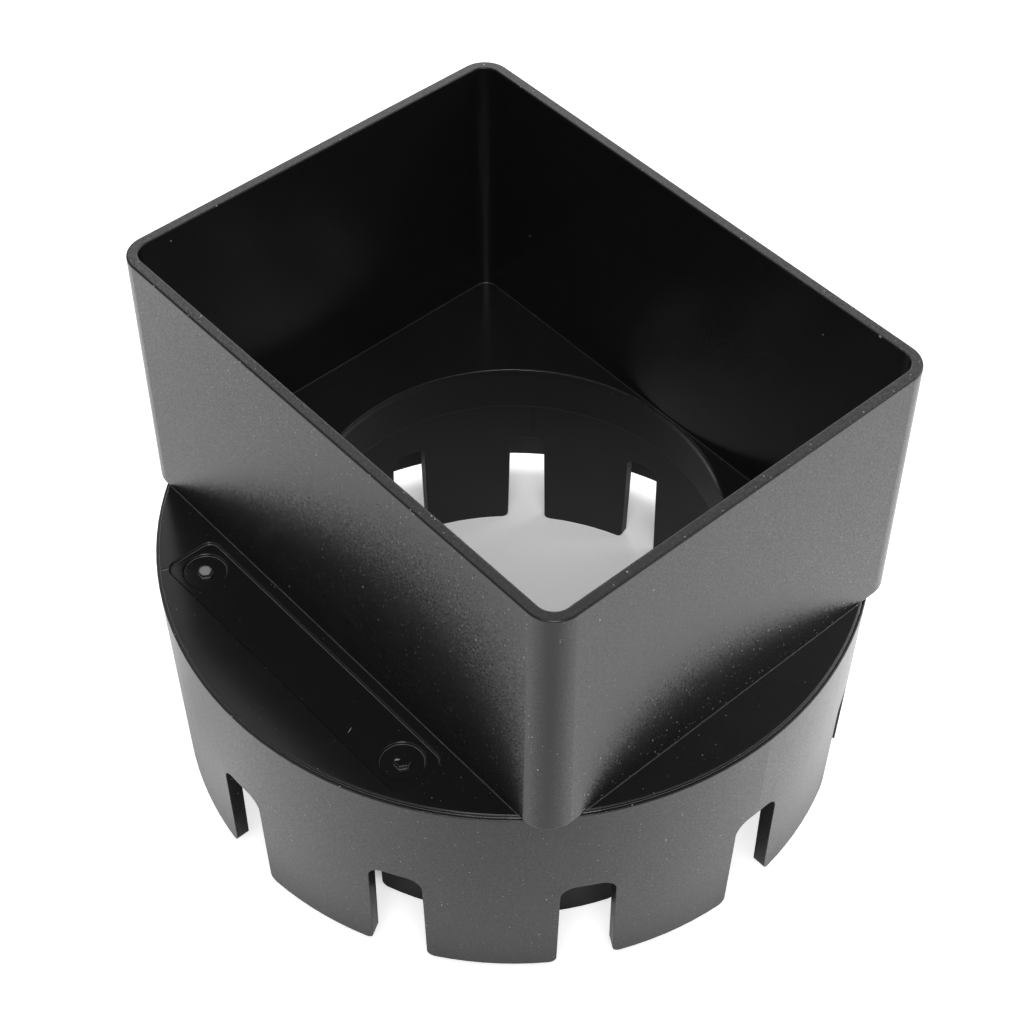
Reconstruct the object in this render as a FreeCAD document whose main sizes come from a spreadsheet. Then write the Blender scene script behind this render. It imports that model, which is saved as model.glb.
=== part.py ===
import FreeCAD, Part
import Sketcher
import math
import os

# A one-piece moulded adapter that joins a rectangular downspout to round corrugated pipe. From the
# top down it is a rectangular socket, a round deck with a round hole and a short collar below it, an
# outer skirt that goes over the pipe's end, and an inner spigot that goes into it. Skirt and spigot
# are slotted.
# The origin is on the axis of the round base, level with the spigot's lower edge. +Z points up, X
# lies along the socket's long side, and the deck's recessed panel is on the -Y side.

# All lengths are in millimetres and all drafts are in degrees.
SIZES = {
    # Rectangular socket. The half sizes and the corner are those of its foot.
    "socket_half_length": 55.1,
    "socket_half_width": 42.05,
    "socket_corner_radius": 5.5,
    "socket_depth": 52.7,
    "socket_overhang_drop": 0.2,
    "socket_rim_wall": 2.03,
    "socket_outer_draft": 0.39,
    "socket_inner_draft": 0.29,
    "rim_outer_rounding": 0.35,
    "rim_inner_rounding": 0.25,
    "wall_foot_rounding": 0.15,
    "socket_floor_rounding": 0.25,
    # Round deck, a low disc on the skirt's shoulder, and the collar that hangs around its hole.
    "deck_radius": 64.35,
    "deck_rise": 0.7,
    "deck_thickness": 2.5,
    "deck_edge_rounding": 0.2,
    "deck_hole_radius": 39.0,
    "deck_hole_rounding": 0.2,
    "collar_depth": 10.15,
    "collar_wall": 2.0,
    "collar_foot_rounding": 0.25,
    # Outer skirt, from its lower edge to its shoulder.
    "skirt_radius": 65.0,
    "skirt_height": 46.8,
    "shoulder_rounding": 0.2,
    "skirt_outer_taper": 0.75,
    "skirt_wall": 2.6,
    # Inner spigot, which hangs from the deck's underside to below the skirt.
    "spigot_radius": 50.35,
    "spigot_wall": 1.9,
    "spigot_inner_taper": 0.65,
    "spigot_drop": 5.9,
    # Slots through the two rings. The spigot's slots stand midway between the skirt's.
    "slot_count": 12,
    "skirt_slot_height": 24.8,
    "skirt_slot_half_width": 5.15,
    "skirt_slot_narrowing": 0.2,
    "skirt_slot_rounding": 3.0,
    "skirt_tab_rounding": 1.5,
    "spigot_slot_height": 25.0,
    "spigot_slot_half_width": 3.95,
    "spigot_slot_narrowing": 0.4,
    "spigot_slot_rounding": 2.0,
    "spigot_tab_rounding": 1.3,
    # Recessed panel on the deck, with two round pockets that each hold a raised hexagon.
    "panel_half_length": 32.5,
    "panel_width": 10.1,
    "panel_gap": 2.2,
    "panel_corner_radius": 2.0,
    "panel_depth": 0.5,
    "panel_edge_rounding": 0.25,
    "pocket_spacing": 55.2,
    "pocket_radius": 3.85,
    "pocket_depth": 0.5,
    "pocket_edge_rounding": 0.25,
    "pip_half_width": 1.2,
    "pip_rise": 0.8,
    "pip_edge_rounding": 0.15,
}

# Levels and places that several features share, as formulas of the sizes above.
SHOULDER = "(Sizes.spigot_drop + Sizes.skirt_height)"
DECK_TOP = "(Sizes.spigot_drop + Sizes.skirt_height + Sizes.deck_rise)"
DECK_UNDER = "(Sizes.spigot_drop + Sizes.skirt_height + Sizes.deck_rise - Sizes.deck_thickness)"
RIM = "(Sizes.spigot_drop + Sizes.skirt_height + Sizes.deck_rise + Sizes.socket_depth)"
SKIRT_INSIDE = "(Sizes.skirt_radius - Sizes.skirt_outer_taper - Sizes.skirt_wall)"
MID_GAP = "((Sizes.skirt_radius - Sizes.skirt_outer_taper - Sizes.skirt_wall + Sizes.spigot_radius) / 2)"
PANEL_OUTER = "(Sizes.socket_half_width + Sizes.panel_gap + Sizes.panel_width)"
PANEL_INNER = "(Sizes.socket_half_width + Sizes.panel_gap)"

# Room by which a cutting outline runs past the face that it opens.
CLEAR = 2.0
CLOSE = 1e-5


def add_sheet(doc):
    """The spreadsheet that holds the driving sizes, a name and a plain number in each row."""
    sheet = doc.addObject("Spreadsheet::Sheet", "Sizes")
    for row, (name, number) in enumerate(SIZES.items(), start=1):
        sheet.set(f"A{row}", name)
        sheet.set(f"B{row}", str(number))
        sheet.setAlias(f"B{row}", name)
    doc.recompute()


def origin_item(body, role):
    """The plane or axis of the body's origin that has a role."""
    return next(item for item in body.Origin.OriginFeatures if item.Role == role)


def new_sketch(body, name, role, lift=None):
    """An empty sketch on one of the body's origin planes, lifted off it by a formula."""
    sketch = body.newObject("Sketcher::SketchObject", name)
    sketch.AttachmentSupport = (origin_item(body, role), [""])
    sketch.MapMode = "FlatFace"
    if lift:
        sketch.setExpression("AttachmentOffset.Base.z", lift)
    return sketch


def fix(sketch, kind, geometry, start, formula):
    """One dimension of a sketch, tied to a formula of the sizes."""
    index = sketch.addConstraint(Sketcher.Constraint(kind, *geometry, start))
    sketch.setExpression(f"Constraints[{index}]", formula)


def add_outline(sketch, corners):
    """A closed outline of straight lines through corners that are given as pairs of formulas."""
    first = sketch.GeometryCount
    count = len(corners)
    turn = 2 * math.pi / count
    rough = [FreeCAD.Vector(math.cos(turn * i), math.sin(turn * i), 0) for i in range(count)]
    for i in range(count):
        sketch.addGeometry(Part.LineSegment(rough[i], rough[(i + 1) % count]), False)
    for i in range(count):
        following = first + (i + 1) % count
        sketch.addConstraint(Sketcher.Constraint("Coincident", first + i, 2, following, 1))
    for i, (across, up) in enumerate(corners):
        fix(sketch, "DistanceX", (first + i, 1), rough[i].x, across)
        fix(sketch, "DistanceY", (first + i, 1), rough[i].y, up)


def add_rounded_rectangle(sketch, half_length, low, high, radius):
    """A rectangle with round corners, centred across the Y axis, from formulas of its four sizes."""
    side, end, turn = 20.0, 10.0, 5.0
    middles = ((side, -end), (side, end), (-side, end), (-side, -end))
    for i, (x, y) in enumerate(middles):
        before = math.radians(90 * i - 90)
        after = math.radians(90 * i)
        arc_start = FreeCAD.Vector(x + turn * math.cos(before), y + turn * math.sin(before), 0)
        last_x, last_y = middles[i - 1]
        line_start = FreeCAD.Vector(last_x + turn * math.cos(before), last_y + turn * math.sin(before), 0)
        circle = Part.Circle(FreeCAD.Vector(x, y, 0), FreeCAD.Vector(0, 0, 1), turn)
        sketch.addGeometry(Part.LineSegment(line_start, arc_start), False)
        sketch.addGeometry(Part.ArcOfCircle(circle, before, after), False)
    for i in range(8):
        sketch.addConstraint(Sketcher.Constraint("Tangent", i, 2, (i + 1) % 8, 1))
    for line, kind in ((0, "Horizontal"), (2, "Vertical"), (4, "Horizontal"), (6, "Vertical")):
        sketch.addConstraint(Sketcher.Constraint(kind, line))
    for arc in (3, 5, 7):
        sketch.addConstraint(Sketcher.Constraint("Equal", 1, arc))
    fix(sketch, "Radius", (1,), turn, radius)
    fix(sketch, "DistanceX", (2, 1), side + turn, half_length)
    fix(sketch, "DistanceX", (6, 1), -side - turn, f"-{half_length}")
    fix(sketch, "DistanceY", (0, 1), -end - turn, low)
    fix(sketch, "DistanceY", (4, 1), end + turn, high)


def add_base(body):
    """The round part as a solid of revolution: spigot core, deck and skirt."""
    sketch = new_sketch(body, "BaseProfile", "XZ_Plane")
    add_outline(sketch, [
        ("0", "0"),
        ("Sizes.spigot_radius", "0"),
        ("Sizes.spigot_radius", DECK_UNDER),
        (SKIRT_INSIDE, DECK_UNDER),
        (SKIRT_INSIDE, "Sizes.spigot_drop"),
        ("Sizes.skirt_radius - Sizes.skirt_outer_taper", "Sizes.spigot_drop"),
        ("Sizes.skirt_radius", SHOULDER),
        ("Sizes.deck_radius", SHOULDER),
        ("Sizes.deck_radius", DECK_TOP),
        ("0", DECK_TOP),
    ])
    base = body.newObject("PartDesign::Revolution", "Base")
    base.Profile = sketch
    base.ReferenceAxis = (sketch, ["V_Axis"])
    base.Angle = 360


def add_socket_block(body):
    """The rectangular socket's outside, a block that narrows from the deck up to the rim."""
    foot = new_sketch(body, "SocketFoot", "XY_Plane", f"{DECK_TOP} - Sizes.socket_overhang_drop")
    add_rounded_rectangle(foot, "Sizes.socket_half_length", "-Sizes.socket_half_width",
                          "Sizes.socket_half_width", "Sizes.socket_corner_radius")
    block = body.newObject("PartDesign::Pad", "SocketBlock")
    block.Profile = foot
    block.setExpression("Length", "Sizes.socket_depth + Sizes.socket_overhang_drop")
    block.setExpression("TaperAngle", "-Sizes.socket_outer_draft")


def add_socket_hollow(body):
    """The socket's inside, which narrows from the rim down to the deck."""
    inset = ("(Sizes.socket_rim_wall + (Sizes.socket_depth + Sizes.socket_overhang_drop)"
             " * tan(Sizes.socket_outer_draft))")
    mouth = new_sketch(body, "SocketMouth", "XY_Plane", RIM)
    add_rounded_rectangle(mouth, f"(Sizes.socket_half_length - {inset})",
                          f"-(Sizes.socket_half_width - {inset})",
                          f"Sizes.socket_half_width - {inset}",
                          f"Sizes.socket_corner_radius - {inset}")
    hollow = body.newObject("PartDesign::Pocket", "SocketHollow")
    hollow.Profile = mouth
    hollow.setExpression("Length", "Sizes.socket_depth")
    hollow.setExpression("TaperAngle", "-Sizes.socket_inner_draft")


def add_bore(body):
    """The way down through the deck's hole, its collar and the spigot around the collar."""
    sketch = new_sketch(body, "BoreProfile", "XZ_Plane")
    mouth_radius = "Sizes.spigot_radius - Sizes.spigot_wall"
    collar_outside = "Sizes.deck_hole_radius + Sizes.collar_wall"
    collar_foot = f"{DECK_TOP} - Sizes.collar_depth"
    add_outline(sketch, [
        ("0", f"-{CLEAR}"),
        (mouth_radius, f"-{CLEAR}"),
        (mouth_radius, "0"),
        (f"{mouth_radius} - Sizes.spigot_inner_taper", DECK_UNDER),
        (collar_outside, DECK_UNDER),
        (collar_outside, collar_foot),
        ("Sizes.deck_hole_radius", collar_foot),
        ("Sizes.deck_hole_radius", f"{DECK_TOP} + {CLEAR}"),
        ("0", f"{DECK_TOP} + {CLEAR}"),
    ])
    bore = body.newObject("PartDesign::Groove", "Bore")
    bore.Profile = sketch
    bore.ReferenceAxis = (sketch, ["V_Axis"])
    bore.Angle = 360


def add_slot_outline(sketch, ring, foot):
    """One slot of a ring: open below, narrower above, with round top corners and round tabs."""
    wide, tab, turn, top = 5.0, 1.5, 2.5, 25.0
    rough = [
        (-wide - tab, -CLEAR), (wide + tab, -CLEAR), (wide + tab, 0),
        (wide, tab), (wide, top - turn), (wide - turn, top),
        (turn - wide, top), (-wide, top - turn), (-wide, tab), (-wide - tab, 0),
    ]
    rough = [FreeCAD.Vector(x, y, 0) for x, y in rough]
    right_angle = math.pi / 2
    arcs = {2: (wide + tab, tab, 2), 4: (wide - turn, top - turn, 0), 6: (turn - wide, top - turn, 1),
            8: (-wide - tab, tab, 3)}
    for i, start in enumerate(rough):
        if i in arcs:
            x, y, quarter = arcs[i]
            radius = tab if i in (2, 8) else turn
            circle = Part.Circle(FreeCAD.Vector(x, y, 0), FreeCAD.Vector(0, 0, 1), radius)
            arc = Part.ArcOfCircle(circle, quarter * right_angle, (quarter + 1) * right_angle)
            sketch.addGeometry(arc, False)
        else:
            sketch.addGeometry(Part.LineSegment(start, rough[(i + 1) % len(rough)]), False)
    for line, kind in ((0, "Horizontal"), (1, "Vertical"), (5, "Horizontal"), (9, "Vertical")):
        sketch.addConstraint(Sketcher.Constraint(kind, line))
    for joint in ((0, 2, 1, 1), (1, 2, 2, 2), (8, 1, 9, 1), (9, 2, 0, 1)):
        sketch.addConstraint(Sketcher.Constraint("Coincident", *joint))
    for joint in ((2, 1, 3, 1), (3, 2, 4, 1), (4, 2, 5, 1), (5, 2, 6, 1), (6, 2, 7, 1), (7, 2, 8, 2)):
        sketch.addConstraint(Sketcher.Constraint("Tangent", *joint))
    sketch.addConstraint(Sketcher.Constraint("Vertical", 2, 3, 2, 2))
    sketch.addConstraint(Sketcher.Constraint("Vertical", 8, 3, 8, 1))
    sketch.addConstraint(Sketcher.Constraint("Equal", 2, 8))
    sketch.addConstraint(Sketcher.Constraint("Equal", 4, 6))
    low = f"Sizes.{ring}_slot_half_width"
    high = f"(Sizes.{ring}_slot_half_width - Sizes.{ring}_slot_narrowing)"
    fix(sketch, "Radius", (2,), tab, f"Sizes.{ring}_tab_rounding")
    fix(sketch, "Radius", (4,), turn, f"Sizes.{ring}_slot_rounding")
    fix(sketch, "DistanceX", (3, 1), wide, low)
    fix(sketch, "DistanceX", (3, 2), wide, high)
    fix(sketch, "DistanceX", (7, 1), -wide, f"-{high}")
    fix(sketch, "DistanceX", (7, 2), -wide, f"-{low}")
    fix(sketch, "DistanceY", (0, 1), -CLEAR, f"{foot} - {CLEAR}")
    fix(sketch, "DistanceY", (2, 2), 0, foot)
    fix(sketch, "DistanceY", (8, 1), 0, foot)
    fix(sketch, "DistanceY", (5, 1), top, f"{foot} + Sizes.{ring}_slot_height")


def add_slots(body, ring, foot, lift, reach, turn):
    """A ring of equal slots, cut outward from a plane that a lift or a turn places."""
    title = ring.title()
    sketch = new_sketch(body, f"{title}SlotOutline", "YZ_Plane", lift)
    if turn:
        about_axis = FreeCAD.Rotation(FreeCAD.Vector(0, 1, 0), 1)
        sketch.AttachmentOffset = FreeCAD.Placement(FreeCAD.Vector(), about_axis)
        sketch.setExpression("AttachmentOffset.Rotation.Angle", turn)
    add_slot_outline(sketch, ring, foot)
    slot = body.newObject("PartDesign::Pocket", f"{title}Slot")
    slot.Profile = sketch
    slot.Reversed = True
    slot.setExpression("Length", reach)
    slots = body.newObject("PartDesign::PolarPattern", f"{title}Slots")
    slots.Originals = [slot]
    slots.Axis = (origin_item(body, "Z_Axis"), [""])
    slots.Angle = 360
    slots.setExpression("Occurrences", "Sizes.slot_count")
    body.Tip = slots


def add_panel(body):
    """The deck's recessed panel, its two round pockets, and a hexagonal pip in each pocket."""
    outline = new_sketch(body, "PanelOutline", "XY_Plane", DECK_TOP)
    add_rounded_rectangle(outline, "Sizes.panel_half_length", f"-{PANEL_OUTER}", f"-{PANEL_INNER}",
                          "Sizes.panel_corner_radius")
    panel = body.newObject("PartDesign::Pocket", "Panel")
    panel.Profile = outline
    panel.setExpression("Length", "Sizes.panel_depth")

    floor = f"{DECK_TOP} - Sizes.panel_depth"
    middle = f"-({PANEL_OUTER} + {PANEL_INNER}) / 2"
    corner = "Sizes.pip_half_width / cos(30)"
    circles = new_sketch(body, "PocketCircles", "XY_Plane", floor)
    hexagons = new_sketch(body, "PipOutlines", "XY_Plane", f"{floor} - Sizes.pocket_depth")
    for x, place in ((-10, "-Sizes.pocket_spacing / 2"), (10, "Sizes.pocket_spacing / 2")):
        rough = Part.Circle(FreeCAD.Vector(x, x, 0), FreeCAD.Vector(0, 0, 1), 3)
        circle = circles.addGeometry(rough, False)
        fix(circles, "Radius", (circle,), 3, "Sizes.pocket_radius")
        fix(circles, "DistanceX", (circle, 3), x, place)
        fix(circles, "DistanceY", (circle, 3), x, middle)
        add_outline(hexagons, [
            (f"{place} + {corner} * cos({60 * k})", f"{middle} + {corner} * sin({60 * k})")
            for k in range(6)
        ])
    pockets = body.newObject("PartDesign::Pocket", "Pockets")
    pockets.Profile = circles
    pockets.setExpression("Length", "Sizes.pocket_depth")
    pips = body.newObject("PartDesign::Pad", "Pips")
    pips.Profile = hexagons
    pips.setExpression("Length", "Sizes.pip_rise")


def flat_at(edge, level):
    """True if an edge lies wholly at one level."""
    box = edge.BoundBox
    return abs(box.ZMin - level) < CLOSE and abs(box.ZMax - level) < CLOSE


def rings(shape, level, radius):
    """The edges at a level that are circles, or parts of circles, of one radius."""
    return [edge for edge in shape.Edges if flat_at(edge, level)
            and isinstance(edge.Curve, Part.Circle) and abs(edge.Curve.Radius - radius) < CLOSE]


def wall_foot(shape, level):
    """The straight edges at a level, where the socket's walls stand on the deck."""
    return [edge for edge in shape.Edges if flat_at(edge, level) and isinstance(edge.Curve, Part.Line)]


def panel_edges(shape, level, sizes):
    """The edges at a level that lie in the deck's panel or around it."""
    inner = -sizes.socket_half_width - sizes.panel_gap
    outer = inner - sizes.panel_width
    return [edge for edge in shape.Edges if flat_at(edge, level)
            and abs(edge.CenterOfMass.x) < sizes.panel_half_length + CLOSE
            and outer - CLOSE < edge.CenterOfMass.y < inner + CLOSE]


def floor_loop(shape, level):
    """The edges around the socket's floor, the only flat face at its level that holds the axis."""
    axis_point = FreeCAD.Vector(0, 0, level)
    floor = next(face for face in shape.Faces if face.isInside(axis_point, CLOSE, True))
    return floor.OuterWire.Edges


def rim_loop(shape, outer):
    """The outer or the inner edges of the socket's rim, which is the highest face."""
    rim = max(shape.Faces, key=lambda face: face.CenterOfMass.z)
    outside = rim.OuterWire.Edges
    if outer:
        return outside
    return [edge for edge in rim.Edges if not any(edge.isSame(other) for other in outside)]


def add_rounding(body, name, radius, choose):
    """A fillet on the edges that a function picks from the body's latest shape."""
    body.Document.recompute()
    base = body.Tip
    chosen = choose(base.Shape)
    names = [f"Edge{number}" for number, edge in enumerate(base.Shape.Edges, start=1)
             if any(edge.isSame(other) for other in chosen)]
    if not names:
        raise RuntimeError(f"{name} has no edge to round")
    fillet = body.newObject("PartDesign::Fillet", name)
    fillet.Base = (base, names)
    fillet.setExpression("Radius", radius)


def add_adapter(doc):
    """The whole adapter as one body, from its turned base to the slots in its rings."""
    sizes = doc.Sizes
    shoulder = sizes.spigot_drop + sizes.skirt_height
    deck_top = shoulder + sizes.deck_rise
    collar_foot = deck_top - sizes.collar_depth
    panel_floor = deck_top - sizes.panel_depth
    pip_top = panel_floor - sizes.pocket_depth + sizes.pip_rise
    body = doc.addObject("PartDesign::Body", "Adapter")
    body.Label = "downspout_adapter"
    add_base(body)
    add_rounding(body, "ShoulderRounding", "Sizes.shoulder_rounding",
                 lambda shape: rings(shape, shoulder, sizes.skirt_radius))
    add_socket_block(body)
    add_rounding(body, "WallFootRounding", "Sizes.wall_foot_rounding",
                 lambda shape: wall_foot(shape, deck_top))
    add_rounding(body, "DeckEdgeRounding", "Sizes.deck_edge_rounding",
                 lambda shape: rings(shape, deck_top, sizes.deck_radius))
    add_socket_hollow(body)
    add_rounding(body, "SocketFloorRounding", "Sizes.socket_floor_rounding",
                 lambda shape: floor_loop(shape, deck_top))
    add_rounding(body, "RimOuterRounding", "Sizes.rim_outer_rounding",
                 lambda shape: rim_loop(shape, outer=True))
    add_rounding(body, "RimInnerRounding", "Sizes.rim_inner_rounding",
                 lambda shape: rim_loop(shape, outer=False))
    add_bore(body)
    add_rounding(body, "DeckHoleRounding", "Sizes.deck_hole_rounding",
                 lambda shape: rings(shape, deck_top, sizes.deck_hole_radius))
    add_rounding(body, "CollarFootRounding", "Sizes.collar_foot_rounding",
                 lambda shape: rings(shape, collar_foot, sizes.deck_hole_radius))
    add_panel(body)
    add_rounding(body, "PanelEdgeRounding", "Sizes.panel_edge_rounding",
                 lambda shape: panel_edges(shape, deck_top, sizes))
    add_rounding(body, "PocketEdgeRounding", "Sizes.pocket_edge_rounding",
                 lambda shape: rings(shape, panel_floor, sizes.pocket_radius))
    add_rounding(body, "PipEdgeRounding", "Sizes.pip_edge_rounding",
                 lambda shape: panel_edges(shape, pip_top, sizes))
    add_slots(body, "skirt", "Sizes.spigot_drop", MID_GAP, "Sizes.skirt_radius", None)
    add_slots(body, "spigot", "0", None, MID_GAP, "180 / Sizes.slot_count")
    body.Placement = FreeCAD.Placement()
    doc.recompute()
    return body


def check(doc, body):
    """Stops with an error if an object failed, a cut removed nothing or the shape is not sound."""
    for item in doc.Objects:
        if "Invalid" in item.State or "Error" in item.State:
            raise RuntimeError(f"{item.Name} failed: {item.State}")
    solids = [item for item in body.Group if item.isDerivedFrom("PartDesign::Feature")]
    for before, after in zip(solids, solids[1:]):
        cuts = after.TypeId in ("PartDesign::Pocket", "PartDesign::Groove")
        if cuts and after.Shape.Volume >= before.Shape.Volume:
            raise RuntimeError(f"{after.Name} cut nothing")
    shape = body.Shape
    if shape.isNull() or not shape.isValid() or len(shape.Solids) != 1:
        raise RuntimeError(f"{body.Label} is not one sound solid")


def main():
    doc = FreeCAD.newDocument("DownspoutAdapter")
    add_sheet(doc)
    body = add_adapter(doc)
    check(doc, body)
    os.makedirs("parts", exist_ok=True)
    body.Shape.exportStep(f"parts/{body.Label}.step")
    print(f"{body.Label}: {body.Shape.Volume / 1000:.1f} cm3")


main()
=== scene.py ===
"""A black moulded downspout adapter on white studio paper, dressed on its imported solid."""

import logging
import math
from dataclasses import dataclass, field
from enum import Enum
from typing import Any

import bpy
from mathutils import Matrix, Vector


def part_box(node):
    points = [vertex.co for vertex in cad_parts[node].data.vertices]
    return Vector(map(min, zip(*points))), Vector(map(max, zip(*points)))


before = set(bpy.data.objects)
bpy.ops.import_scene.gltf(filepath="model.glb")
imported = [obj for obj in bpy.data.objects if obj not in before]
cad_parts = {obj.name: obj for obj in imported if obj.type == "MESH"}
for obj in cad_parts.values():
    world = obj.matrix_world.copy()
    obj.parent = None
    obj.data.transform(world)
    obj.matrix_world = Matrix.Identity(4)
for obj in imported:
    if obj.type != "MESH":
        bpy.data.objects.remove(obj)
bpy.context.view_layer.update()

LOG = logging.getLogger("downspout_adapter")
MM = 0.001
WHITE = (1.0, 1.0, 1.0, 1.0)
# A mask's fade where its edge has to be sharp.
SHARP = 0.001
# Lower than every radius and height, in millimetres.
LOWEST = -1.0
# A Mix node has an A and a B for each kind of data, so they are told apart by number.
MIX_FACTOR, MIX_FLOAT_A, MIX_FLOAT_B, MIX_COLOUR_A, MIX_COLOUR_B = 0, 2, 3, 6, 7
MIX_COLOUR_RESULT = 2
Triple = tuple[float, float, float]
Pair = tuple[float, float]


def linear(colour: str) -> tuple[float, float, float, float]:
    """Turns an sRGB hex colour into the linear values that a shader takes.

    Args:
        colour: The colour as six hex digits after a hash.

    Returns:
        Red, green and blue, each from 0 to 1, and an alpha of 1.
    """
    parts = [int(colour[i:i + 2], 16) / 255 for i in (1, 3, 5)]
    red, green, blue = (p / 12.92 if p <= 0.04045 else ((p + 0.055) / 1.055) ** 2.4 for p in parts)
    return red, green, blue, 1.0


def add_node(tree: bpy.types.NodeTree, kind: str, settings: dict[str, Any] | None = None,
             inputs: dict[str | int, Any] | None = None) -> bpy.types.Node:
    """Adds one node, sets its properties, and fills or links its inputs.

    Args:
        tree: The node tree that takes the node.
        kind: The node's type.
        settings: Properties of the node itself.
        inputs: A value or an output socket for each named or numbered input.

    Returns:
        The new node.
    """
    node = tree.nodes.new(kind)
    for name, value in (settings or {}).items():
        setattr(node, name, value)
    for name, value in (inputs or {}).items():
        if isinstance(value, bpy.types.NodeSocket):
            tree.links.new(value, node.inputs[name])
        else:
            node.inputs[name].default_value = value
    return node


def new_tree(owner: Any) -> bpy.types.NodeTree:
    """Turns on a material's or a world's nodes and empties its tree.

    Args:
        owner: The material or the world.

    Returns:
        Its empty node tree.
    """
    owner.use_nodes = True
    owner.node_tree.nodes.clear()
    return owner.node_tree


class MouldFace(Enum):
    """The faces of the mould, which each leave a finish of their own."""

    CAVITY = "spark-eroded outer walls"
    DECK = "smooth deck"
    PANEL = "polished panel in the deck"
    CORE = "polished core, inside the socket"
    RINGS = "turned sleeves, inside the collar, the spigot and the skirt"


@dataclass(frozen=True)
class Finish:
    """What one face of the mould leaves on the plastic: its gloss, its grain, and its share of dust and
    painted glints.
    """

    roughness: float
    grain: float
    dust_and_glints: float


class MarkKind(Enum):
    """The marks that moulding and handling left on the adapter, and one painted glint."""

    SPECK = "pale fleck stuck to the plastic"
    # Also a painted glint along one side of a hexagon.
    SCUFF_AND_GLINT = "torn, whitened plastic"
    GROOVE = "fine sunk line, where the plastic flowed past a corner"
    WELD = "dark line, where two flows of plastic met"


@dataclass(frozen=True)
class Spot:
    """A place on the surface: a box or an ellipsoid about its middle, turned about +Z."""

    middle_mm: Triple
    half_mm: Triple
    turn_deg: float = 0.0
    fade: float = 0.3
    is_round: bool = False


@dataclass(frozen=True)
class Mark:
    """One mark on the surface."""

    kind: MarkKind
    spot: Spot


@dataclass
class SurfaceMap:
    """The places on the adapter, as masks from its Object coordinates."""

    tree: bpy.types.NodeTree
    place: bpy.types.NodeSocket = field(init=False)
    radius: bpy.types.NodeSocket = field(init=False)
    height: bpy.types.NodeSocket = field(init=False)

    def __post_init__(self) -> None:
        """Reads the coordinates, the distance from the axis and the height."""
        self.place = add_node(self.tree, "ShaderNodeTexCoord").outputs["Object"]
        parts = add_node(self.tree, "ShaderNodeSeparateXYZ", inputs={0: self.place})
        level = add_node(self.tree, "ShaderNodeCombineXYZ", inputs={
            "X": parts.outputs["X"], "Y": parts.outputs["Y"]})
        self.radius = add_node(self.tree, "ShaderNodeVectorMath", {"operation": "LENGTH"},
                               {0: level.outputs[0]}).outputs["Value"]
        self.height = parts.outputs["Z"]

    def area(self, spot: Spot) -> bpy.types.NodeSocket:
        """Masks a box or an ellipsoid, with an edge that fades inwards.

        Args:
            spot: The place.

        Returns:
            1 well inside the place and 0 outside it.
        """
        local = add_node(self.tree, "ShaderNodeMapping", {"vector_type": "TEXTURE"}, {
            "Vector": self.place, "Location": Vector(spot.middle_mm) * MM,
            "Rotation": (0.0, 0.0, math.radians(spot.turn_deg)), "Scale": Vector(spot.half_mm) * MM})
        if spot.is_round:
            reach = add_node(self.tree, "ShaderNodeVectorMath", {"operation": "LENGTH"},
                             {0: local.outputs[0]}).outputs["Value"]
        else:
            size = add_node(self.tree, "ShaderNodeVectorMath", {"operation": "ABSOLUTE"},
                            {0: local.outputs[0]})
            parts = add_node(self.tree, "ShaderNodeSeparateXYZ", inputs={0: size.outputs[0]})
            reach = self.combine("MAXIMUM", *(parts.outputs[axis] for axis in "XYZ"))
        return add_node(self.tree, "ShaderNodeMapRange", inputs={
            "Value": reach, "From Min": 1.0, "From Max": 1.0 - spot.fade}).outputs[0]

    def disc(self, middle: Pair, inner: float, outer: float) -> bpy.types.NodeSocket:
        """Masks a disc on the floor, with a soft edge.

        Args:
            middle: The disc's middle.
            inner: The radius up to which it is whole.
            outer: The radius at which it has gone.

        Returns:
            1 in the disc and 0 outside it.
        """
        away = add_node(self.tree, "ShaderNodeVectorMath", {"operation": "DISTANCE"},
                        {0: self.place, 1: (*middle, 0.0)})
        return add_node(self.tree, "ShaderNodeMapRange", {"interpolation_type": "SMOOTHSTEP"}, {
            "Value": away.outputs["Value"], "From Min": outer, "From Max": inner}).outputs[0]

    def ring(self, radius_mm: Pair, height_mm: Pair) -> bpy.types.NodeSocket:
        """Masks what lies between two radii and two heights.

        Args:
            radius_mm: The inner and the outer radius.
            height_mm: The lower and the upper height.

        Returns:
            1 inside and 0 outside.
        """
        bands = []
        for value, (low, high) in ((self.radius, radius_mm), (self.height, height_mm)):
            bands.append(add_node(self.tree, "ShaderNodeMath", {"operation": "COMPARE"}, {
                0: value, 1: (low + high) / 2 * MM, 2: (high - low) / 2 * MM}))
        return self.combine("MULTIPLY", *(band.outputs[0] for band in bands))

    def combine(self, operation: str, *masks: bpy.types.NodeSocket) -> bpy.types.NodeSocket:
        """Joins masks two at a time.

        Args:
            operation: MULTIPLY for where all hold, MAXIMUM for where any does, and SUBTRACT for where
                the first holds and the others don't.
            masks: The masks.

        Returns:
            The joined mask.
        """
        joined = masks[0]
        for mask in masks[1:]:
            joined = add_node(self.tree, "ShaderNodeMath", {"operation": operation},
                              {0: joined, 1: mask}).outputs[0]
        return joined

    def choose(self, base: float, options: list[tuple[float, bpy.types.NodeSocket]]) -> bpy.types.NodeSocket:
        """Gives one value everywhere but where a mask puts another in its place.

        Args:
            base: The value where no mask holds.
            options: Values with their masks, the later over the earlier.

        Returns:
            The value at each point.
        """
        chosen: Any = base
        for value, mask in options:
            chosen = add_node(self.tree, "ShaderNodeMix", {"data_type": "FLOAT"}, {
                MIX_FACTOR: mask, MIX_FLOAT_A: chosen, MIX_FLOAT_B: value}).outputs[0]
        return chosen


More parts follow.
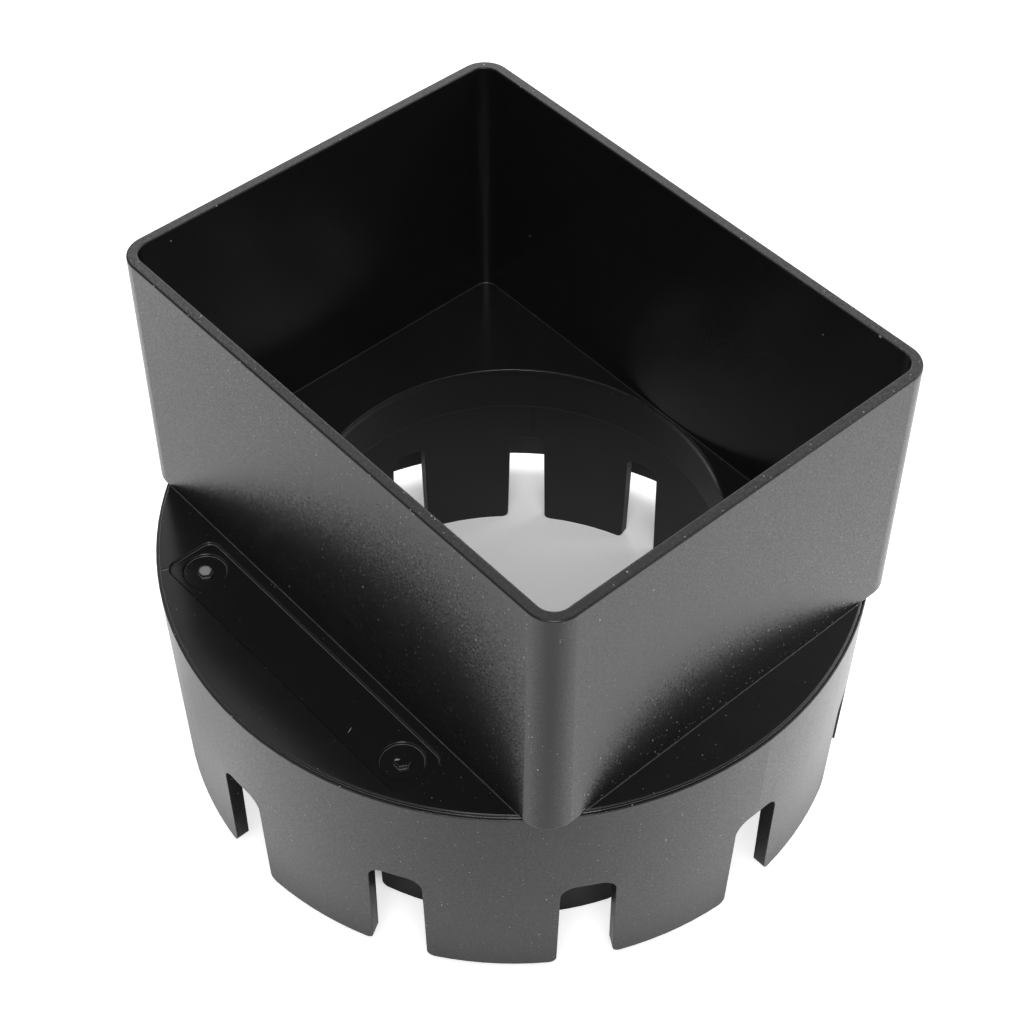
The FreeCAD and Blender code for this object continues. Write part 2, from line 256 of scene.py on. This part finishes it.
@dataclass(frozen=True)
class MouldedPolypropylene:
    """Black polypropylene, injection moulded: satin outside, glossy inside.

    The carbon black leaves almost no colour of its own, so the eye reads the part by what it
    reflects. The spark-eroded walls blur the white room to soft greys with a sandy grain, and the
    smooth deck and the polished core show it nearly as a mirror, mostly dark.
    """

    pigment: str = "#141415"
    ior: float = 1.45
    # The real grain is 0.05 to 0.1 mm across. It is drawn coarser, so that it still shows. Each
    # grain leans its own way, so that the dark of a reflection breaks up into its light as sand does.
    grain_mm: float = 0.32
    grain_detail: float = 0.0
    grain_lean: float = 0.17
    noise_mean: Triple = (0.5, 0.5, 0.5)
    # The patterns are turned off the walls' planes, along which a noise would fade into bands.
    turn_deg: Triple = (37.0, 23.0, 11.0)
    # A wall sinks a little where the plastic behind it cools last, which bends its reflections.
    wave_mm: float = 14.0
    wave_detail: float = 1.0
    wave_depth_mm: float = 0.04
    # The deck's edges and the walls' foot get painted highlights: thin light lines in a paler colour
    # than their faces, paler still at the foot. The pair holds how far an edge's normal agrees with its
    # face's where a line starts and where it is whole.
    edge_mm: float = 0.25
    edge_samples: int = 6
    edge_highlight_colour: str = "#6c6c6d"
    foot_highlight_colour: str = "#a8a8a9"
    highlight_turn: Pair = (0.98, 0.86)
    # Loose dust and painted glints of the grain, one speck at most to a cell, up to the largest radius. Most
    # specks are faint.
    dust_and_glint_colour: str = "#a2a29f"
    speck_cell_mm: float = 0.8
    speck_mm: float = 0.12
    speck_faintness: float = 3.0
    # A thin film of finer dust dulls the deck in soft patches.
    film_mm: float = 5.0
    film_detail: float = 3.0
    film_patch: Pair = (0.4, 0.7)
    film: float = 0.005
    # Torn plastic turns pale and dull. The same pale colour makes a painted glint along one side of a
    # hexagon.
    scuff_and_glint_colour: str = "#8e8e8c"
    scuff_and_glint_roughness: float = 0.6
    scuff_and_glint_grain: float = 1.6
    groove_depth_mm: float = 0.1
    weld_colour: str = "#030303"
    finishes: dict[MouldFace, Finish] = field(default_factory=lambda: {
        # A soft sheen with a sandy sparkle where light turns to dark, and the most specks of dust and
        # painted glints.
        MouldFace.CAVITY: Finish(0.27, 1.0, 1.25),
        # Clearer than the walls, so it mirrors the dim room behind the part and looks darker.
        MouldFace.DECK: Finish(0.17, 0.06, 0.8),
        # Clearer still: its outline shows as a faint change of depth in the reflection.
        MouldFace.PANEL: Finish(0.14, 0.04, 0.5),
        # Deep black with a few long, soft reflections of the opposite walls.
        MouldFace.CORE: Finish(0.24, 0.05, 0.5),
        # Duller than the core, an even dark grey all round.
        MouldFace.RINGS: Finish(0.45, 0.2, 0.0)})

    def build(self, adapter: "DownspoutAdapter") -> bpy.types.Material:
        """Makes the node material.

        Args:
            adapter: The piece, which knows where its faces and marks lie.

        Returns:
            The finished material.
        """
        material = bpy.data.materials.new("moulded_polypropylene")
        tree = new_tree(material)
        surface = SurfaceMap(tree)
        faces = adapter.faces(surface)
        marks = adapter.marks(surface)
        scuff_and_glint = marks[MarkKind.SCUFF_AND_GLINT]
        base = self.finishes[MouldFace.CAVITY]
        roughness = surface.choose(base.roughness, [
            *((self.finishes[face].roughness, mask) for face, mask in faces.items()),
            (self.scuff_and_glint_roughness, scuff_and_glint)])
        grain = surface.choose(base.grain, [
            *((self.finishes[face].grain, mask) for face, mask in faces.items()),
            (self.scuff_and_glint_grain, scuff_and_glint)])
        speck_share = surface.choose(base.dust_and_glints, [
            (self.finishes[face].dust_and_glints, mask) for face, mask in faces.items()])
        # Pale specks: loose dust, and painted glints of the grain on the walls.
        dust_and_glints = surface.combine("MAXIMUM", self.dust_and_glints(surface, speck_share), marks[MarkKind.SPECK])
        edge = add_node(tree, "ShaderNodeBevel", {"samples": self.edge_samples},
                        {"Radius": self.edge_mm * MM}).outputs[0]
        colour: Any = linear(self.pigment)
        # Painted highlights: a pale colour along the deck's edges, and a paler one along the walls' foot.
        painted_edge_highlight = surface.combine("MULTIPLY", self.painted_edge_highlight(surface, edge), adapter.deck_band(surface))
        foot = surface.combine("MULTIPLY", painted_edge_highlight, adapter.wall_foot(surface))
        for mask, shown in ((painted_edge_highlight, self.edge_highlight_colour), (foot, self.foot_highlight_colour),
                            (dust_and_glints, self.dust_and_glint_colour), (scuff_and_glint, self.scuff_and_glint_colour),
                            (marks[MarkKind.WELD], self.weld_colour)):
            colour = add_node(tree, "ShaderNodeMix", {"data_type": "RGBA"}, {
                MIX_FACTOR: mask, MIX_COLOUR_A: colour,
                MIX_COLOUR_B: linear(shown)}).outputs[MIX_COLOUR_RESULT]
        shader = add_node(tree, "ShaderNodeBsdfPrincipled", inputs={
            "Base Color": colour, "IOR": self.ior, "Roughness": roughness,
            "Normal": self.relief(surface, edge, grain, marks[MarkKind.GROOVE])})
        add_node(tree, "ShaderNodeOutputMaterial", inputs={"Surface": shader.outputs["BSDF"]})
        return material

    def painted_edge_highlight(self, surface: SurfaceMap, edge: bpy.types.NodeSocket) -> bpy.types.NodeSocket:
        """Finds the edges that get painted highlights, from how far their rounded normal turns away from the
        face's own.

        Args:
            surface: The adapter's places.
            edge: The normal with its edges rounded.

        Returns:
            1 along an edge and 0 on a face.
        """
        face = add_node(surface.tree, "ShaderNodeNewGeometry").outputs["Normal"]
        turn = add_node(surface.tree, "ShaderNodeVectorMath", {"operation": "DOT_PRODUCT"},
                        {0: edge, 1: face})
        return add_node(surface.tree, "ShaderNodeMapRange", inputs={
            "Value": turn.outputs["Value"], "From Min": self.highlight_turn[0],
            "From Max": self.highlight_turn[1]}).outputs[0]

    def relief(self, surface: SurfaceMap, edge: bpy.types.NodeSocket, grain: bpy.types.NodeSocket,
               groove: bpy.types.NodeSocket) -> bpy.types.NodeSocket:
        """Turns the normal by the slow waves of a cooled wall, by sunk lines and by the mould's grain.

        Args:
            surface: The adapter's places.
            edge: The normal with its edges rounded.
            grain: How much of the grain each face takes.
            groove: The sunk lines.

        Returns:
            The turned normal.
        """
        tree = surface.tree
        turned = add_node(tree, "ShaderNodeMapping", inputs={
            "Vector": surface.place, "Rotation": tuple(math.radians(turn) for turn in self.turn_deg)})
        wave = add_node(tree, "ShaderNodeTexNoise", inputs={
            "Vector": turned.outputs[0], "Scale": 1 / (self.wave_mm * MM),
            "Detail": self.wave_detail})
        waved = add_node(tree, "ShaderNodeBump", inputs={
            "Height": wave.outputs[0], "Distance": self.wave_depth_mm * MM, "Strength": 1.0,
            "Normal": edge})
        sunk = add_node(tree, "ShaderNodeBump", {"invert": True}, {
            "Height": groove, "Distance": self.groove_depth_mm * MM, "Strength": 1.0,
            "Normal": waved.outputs[0]})
        pits = add_node(tree, "ShaderNodeTexNoise", inputs={
            "Vector": turned.outputs[0], "Scale": 1 / (self.grain_mm * MM),
            "Detail": self.grain_detail})
        lean = add_node(tree, "ShaderNodeVectorMath", {"operation": "SUBTRACT"}, {
            0: pits.outputs["Color"], 1: self.noise_mean})
        most = add_node(tree, "ShaderNodeMath", {"operation": "MULTIPLY"},
                        {0: grain, 1: self.grain_lean})
        leaning = add_node(tree, "ShaderNodeVectorMath", {"operation": "MULTIPLY_ADD"}, {
            0: lean.outputs[0], 1: most.outputs[0], 2: sunk.outputs[0]})
        return add_node(tree, "ShaderNodeVectorMath", {"operation": "NORMALIZE"},
                        {0: leaning.outputs[0]}).outputs[0]

    def dust_and_glints(self, surface: SurfaceMap, speck_share: bpy.types.NodeSocket) -> bpy.types.NodeSocket:
        """Masks pale specks, partly loose dust and partly painted glints, of all sizes up to the largest and
        all strengths, and a patchy film of dust.

        Args:
            surface: The adapter's places.
            speck_share: The share of the largest size that each face holds.

        Returns:
            Up to 1 on a speck, next to 0 on the film and 0 elsewhere.
        """
        tree = surface.tree
        cells = add_node(tree, "ShaderNodeTexVoronoi", inputs={
            "Vector": surface.place, "Scale": 1 / (self.speck_cell_mm * MM)})
        chance = add_node(tree, "ShaderNodeSeparateColor", inputs={0: cells.outputs["Color"]})
        most = add_node(tree, "ShaderNodeMath", {"operation": "MULTIPLY"}, {
            0: speck_share, 1: self.speck_mm / self.speck_cell_mm})
        reach = add_node(tree, "ShaderNodeMath", {"operation": "MULTIPLY"}, {
            0: chance.outputs[0], 1: most.outputs[0]})
        speck = add_node(tree, "ShaderNodeMath", {"operation": "LESS_THAN"}, {
            0: cells.outputs["Distance"], 1: reach.outputs[0]})
        patches = add_node(tree, "ShaderNodeTexNoise", inputs={
            "Vector": surface.place, "Scale": 1 / (self.film_mm * MM),
            "Detail": self.film_detail})
        film = add_node(tree, "ShaderNodeMapRange", inputs={
            "Value": patches.outputs[0], "From Min": self.film_patch[0],
            "From Max": self.film_patch[1], "To Max": self.film})
        strength = add_node(tree, "ShaderNodeMath", {"operation": "POWER"}, {
            0: chance.outputs[1], 1: self.speck_faintness})
        specks = surface.combine("MULTIPLY", speck.outputs[0], strength.outputs[0])
        return surface.combine("MAXIMUM", specks,
                               surface.combine("MULTIPLY", film.outputs[0], speck_share))


@dataclass
class DownspoutAdapter:
    """The one moulded piece, with the sizes and places that its finish needs, in millimetres."""

    node: str = "downspout_adapter"
    spigot_inside: float = 49.4
    skirt_inside: float = 62.0
    deck_underside: float = 50.9
    # The deck with its panel, and the levels at which it also meets the walls' foot and the skirt.
    deck_radius: float = 64.6
    deck_levels: Pair = (51.9, 53.6)
    band_radius: float = 66.6
    band_levels: Pair = (51.9, 54.2)
    panel: Spot = Spot((0.0, -49.3, 52.9), (32.6, 5.15, 0.35), fade=SHARP)
    # The inside of the socket, and two boxes between which lies the walls' foot.
    socket: Spot = Spot((0.0, 0.0, 79.55), (53.9, 40.9, 26.35), fade=SHARP)
    around_foot: Spot = Spot((0.0, 0.0, 53.2), (56.4, 43.4, 1.5), fade=SHARP)
    inside_foot: Spot = Spot((0.0, 0.0, 53.2), (53.9, 40.9, 1.5), fade=SHARP)
    # Flecks on the walls, inside and out.
    fleck_half: Triple = (0.17, 0.17, 0.17)
    flecks: tuple[Triple, ...] = (
        (-39.9, 39.5, 72.8), (33.0, 39.6, 98.3), (54.8, -20.9, 99.3), (38.2, -41.8, 89.1),
        (52.1, -41.3, 69.2), (-52.7, -31.7, 103.9), (-0.2, -41.7, 99.5), (9.9, -41.9, 76.3),
        (-11.9, -42.0, 56.9), (49.0, -41.8, 95.1), (54.8, -32.0, 101.2), (55.1, -33.6, 54.0))
    marks_found: tuple[Mark, ...] = (
        # The top of one hexagon is torn white; along one side of the other lies a painted glint.
        Mark(MarkKind.SCUFF_AND_GLINT, Spot((-27.4, -49.4, 53.2), (1.25, 1.2, 0.35), is_round=True)),
        Mark(MarkKind.SCUFF_AND_GLINT, Spot((26.9, -49.9, 53.2), (0.7, 0.2, 0.2), 55.0, is_round=True)),
        # A nick in the rim's inner edge.
        Mark(MarkKind.SCUFF_AND_GLINT, Spot((44.4, 39.6, 105.9), (0.35, 0.3, 0.3), is_round=True)),
        # A short scratch in the panel.
        Mark(MarkKind.SCUFF_AND_GLINT, Spot((16.9, -51.8, 52.9), (0.75, 0.07, 0.3), 110.6, is_round=True)),
        # The flow line from the deck's edge to the panel's corner, and the spigot's weld line.
        Mark(MarkKind.GROOVE, Spot((-32.4, -55.0, 53.4), (1.3, 0.25, 0.5), 68.0, 0.9)),
        Mark(MarkKind.WELD, Spot((-33.1, 34.8, 30.6), (1.5, 0.65, 5.8), 133.3, 0.6)))

    def faces(self, surface: SurfaceMap) -> dict[MouldFace, bpy.types.NodeSocket]:
        """Masks the faces of the mould other than its cavity.

        Args:
            surface: The adapter's places.

        Returns:
            A mask for each face, in the order in which they lie over each other.
        """
        socket = surface.area(self.socket)
        rings = surface.combine(
            "MAXIMUM", surface.ring((LOWEST, self.spigot_inside), (LOWEST, self.deck_levels[0])),
            surface.ring((LOWEST, self.skirt_inside), (LOWEST, self.deck_underside)))
        deck = surface.ring((LOWEST, self.deck_radius), self.deck_levels)
        panel = surface.area(self.panel)
        return {MouldFace.RINGS: rings, MouldFace.DECK: deck, MouldFace.PANEL: panel,
                MouldFace.CORE: socket}

    def deck_band(self, surface: SurfaceMap) -> bpy.types.NodeSocket:
        """Masks the levels at which the deck meets the walls, the panel and the skirt."""
        return surface.ring((LOWEST, self.band_radius), self.band_levels)

    def wall_foot(self, surface: SurfaceMap) -> bpy.types.NodeSocket:
        """Masks the foot of the socket's walls, on the deck around them."""
        return surface.combine("SUBTRACT", surface.area(self.around_foot), surface.area(self.inside_foot))

    def marks(self, surface: SurfaceMap) -> dict[MarkKind, bpy.types.NodeSocket]:
        """Masks the marks, all of a kind together.

        Args:
            surface: The adapter's places.

        Returns:
            A mask for each kind of mark.
        """
        found = (*(Mark(MarkKind.SPECK, Spot(middle, self.fleck_half, is_round=True))
                   for middle in self.flecks), *self.marks_found)
        return {kind: surface.combine("MAXIMUM", *(
            surface.area(mark.spot) for mark in found if mark.kind is kind)) for kind in MarkKind}

    def dress(self, finish: MouldedPolypropylene) -> bpy.types.Object:
        """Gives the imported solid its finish.

        Args:
            finish: The plastic.

        Returns:
            The dressed object.
        """
        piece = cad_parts[self.node]
        piece.data.materials.clear()
        piece.data.materials.append(finish.build(self))
        LOG.info("%s: dressed in %s", self.node, piece.data.materials[0].name)
        return piece


@dataclass(frozen=True)
class StudioCamera:
    """The camera, placed by its angle about the point that its middle looks at."""

    azimuth_deg: float = 48.227
    elevation_deg: float = 48.159
    roll_deg: float = 0.306
    distance: float = 422.48 * MM
    focal_mm: float = 74.55
    sensor_mm: float = 36.0
    aim_right: float = -0.16 * MM
    aim_up: float = 33.02 * MM
    aim_level: float = 5.9 * MM

    def place(self) -> bpy.types.Object:
        """Makes the camera and gives it to the scene.

        Returns:
            The camera object.
        """
        azimuth, elevation, roll = (math.radians(a) for a in
                                    (self.azimuth_deg, self.elevation_deg, self.roll_deg))
        back = Vector((math.sin(azimuth) * math.cos(elevation),
                       -math.cos(azimuth) * math.cos(elevation), math.sin(elevation)))
        level = Vector((math.cos(azimuth), math.sin(azimuth), 0.0))
        upright = back.cross(level)
        right = math.cos(roll) * level + math.sin(roll) * upright
        up = back.cross(right)
        data = bpy.data.cameras.new("studio_camera")
        data.lens = self.focal_mm
        data.sensor_width = self.sensor_mm
        data.clip_start = 10 * MM
        camera = bpy.data.objects.new("studio_camera", data)
        turn = Matrix((right, up, back)).transposed().to_4x4()
        centre = (back * self.distance + right * self.aim_right + up * self.aim_up
                  + Vector((0, 0, self.aim_level)))
        camera.matrix_world = Matrix.Translation(centre) @ turn
        bpy.context.scene.collection.objects.link(camera)
        bpy.context.scene.camera = camera
        LOG.info("camera %.1f degrees above the floor", self.elevation_deg)
        return camera


@dataclass(frozen=True)
class Softbox:
    """A square soft lamp that points at the adapter's middle."""

    name: str
    azimuth_deg: float
    elevation_deg: float
    distance: float
    side: float
    power: float

    def hang(self, aim: Triple) -> None:
        """Makes the lamp.

        Args:
            aim: The spot that it points at.
        """
        azimuth, elevation = math.radians(self.azimuth_deg), math.radians(self.elevation_deg)
        way = Vector((math.cos(azimuth) * math.cos(elevation),
                      math.sin(azimuth) * math.cos(elevation), math.sin(elevation)))
        data = bpy.data.lights.new(self.name, "AREA")
        data.size = self.side
        data.energy = self.power
        lamp = bpy.data.objects.new(self.name, data)
        lamp.location = Vector(aim) + way * self.distance
        lamp.rotation_euler = way.to_track_quat("Z", "Y").to_euler()
        bpy.context.scene.collection.objects.link(lamp)
        LOG.info("%s hung", self.name)


@dataclass(frozen=True)
class Shade:
    """A soft, dimmer place on the paper, and the share of the paper's glow that it keeps."""

    middle: Pair
    radius: float
    kept: float


@dataclass(frozen=True)
class WhitePaper:
    """Matt white background paper, which the camera and the plastic's gloss see as white.

    It gives the eye a white ground with no edge, and the plastic its soft grey reflections: bright
    where a wall mirrors open paper, dark in the adapter's own shade and where the shades below
    stand for what was dark around the real one.
    """

    side: float = 4.0
    colour: str = "#f4f4f4"
    shown_white: float = 0.62
    # The paper seen through the adapter lies in its shade.
    well_middle: Pair = (-5.2 * MM, 4.7 * MM)
    well_radius: Pair = (53.0 * MM, 58.0 * MM)
    well_glow: float = 0.13
    # What the gloss mirrors, which starts outside the skirt.
    mirrored_white: float = 0.68
    mirrored_from: Pair = (63.0 * MM, 74.0 * MM)
    shades: tuple[Shade, ...] = (
        Shade((96 * MM, -86 * MM), 90 * MM, 0.2),
        Shade((-45 * MM, -62 * MM), 30 * MM, 0.2),
        Shade((-95 * MM, -90 * MM), 100 * MM, 0.55))

    def build(self) -> bpy.types.Material:
        """Makes the node material: white around the adapter, and in its own shade under it.

        Returns:
            The finished material.
        """
        material = bpy.data.materials.new("matt_white_paper")
        tree = new_tree(material)
        surface = SurfaceMap(tree)
        rays = add_node(tree, "ShaderNodeLightPath")
        seen = surface.choose(self.shown_white, [
            (self.well_glow, surface.disc(self.well_middle, *self.well_radius))])
        mirrored = surface.choose(self.mirrored_white, [
            (0.0, surface.disc((0.0, 0.0), *self.mirrored_from))])
        for shade in self.shades:
            dimmed = surface.choose(1.0, [(shade.kept, surface.disc(shade.middle, 0.0, shade.radius))])
            mirrored = surface.combine("MULTIPLY", mirrored, dimmed)
        bounced = surface.combine("MAXIMUM", rays.outputs["Is Glossy Ray"],
                                  rays.outputs["Is Transmission Ray"])
        glow = surface.combine("ADD", surface.combine("MULTIPLY", rays.outputs["Is Camera Ray"], seen),
                               surface.combine("MULTIPLY", bounced, mirrored))
        shader = add_node(tree, "ShaderNodeBsdfPrincipled", inputs={
            "Base Color": linear(self.colour), "Roughness": 1.0, "Specular IOR Level": 0.0,
            "Emission Color": WHITE, "Emission Strength": glow})
        add_node(tree, "ShaderNodeOutputMaterial", inputs={"Surface": shader.outputs["BSDF"]})
        return material

    def lay(self) -> bpy.types.Object:
        """Lays the paper as the floor.

        Returns:
            The floor.
        """
        half = self.side / 2
        mesh = bpy.data.meshes.new("studio_floor")
        mesh.from_pydata([(-half, -half, 0), (half, -half, 0), (half, half, 0), (-half, half, 0)],
                         [], [(0, 1, 2, 3)])
        mesh.materials.append(self.build())
        floor = bpy.data.objects.new("studio_floor", mesh)
        bpy.context.scene.collection.objects.link(floor)
        LOG.info("studio floor laid")
        return floor


@dataclass(frozen=True)
class Studio:
    """White paper, the pale air around it, which the camera sees as white, and soft lamps."""

    paper: WhitePaper = WhitePaper()
    air: float = 0.365
    air_shown: float = 1.0
    lamps: tuple[Softbox, ...] = (
        Softbox("key_softbox", -41.8, 57.0, 1.2, 0.5, 7.1),
        Softbox("back_softbox", 138.0, 50.0, 1.3, 1.2, 2.6),
        Softbox("low_back_softbox", 138.0, 20.0, 1.3, 1.2, 6.7),
        Softbox("right_softbox", 70.0, 35.0, 1.1, 0.8, 4.65))

    def build(self, aim: Triple) -> None:
        """Makes the floor, the air and the lamps.

        Args:
            aim: The middle of the adapter.
        """
        self.paper.lay()
        world = bpy.data.worlds.new("studio_air")
        bpy.context.scene.world = world
        tree = new_tree(world)
        rays = add_node(tree, "ShaderNodeLightPath")
        seen = add_node(tree, "ShaderNodeMix", {"data_type": "FLOAT"}, {
            MIX_FACTOR: rays.outputs["Is Camera Ray"], MIX_FLOAT_A: self.air,
            MIX_FLOAT_B: self.air_shown})
        light = add_node(tree, "ShaderNodeBackground", inputs={
            "Color": WHITE, "Strength": seen.outputs[0]})
        add_node(tree, "ShaderNodeOutputWorld", inputs={"Surface": light.outputs[0]})
        for lamp in self.lamps:
            lamp.hang(aim)


def main() -> None:
    """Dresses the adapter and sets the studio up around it."""
    logging.basicConfig(level=logging.INFO)
    bpy.context.scene.view_settings.view_transform = "Standard"
    adapter = DownspoutAdapter()
    adapter.dress(MouldedPolypropylene())
    low, high = (Vector(corner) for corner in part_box(adapter.node))
    Studio().build(tuple((low + high) / 2))
    StudioCamera().place()


if __name__ == "__main__":
    main()
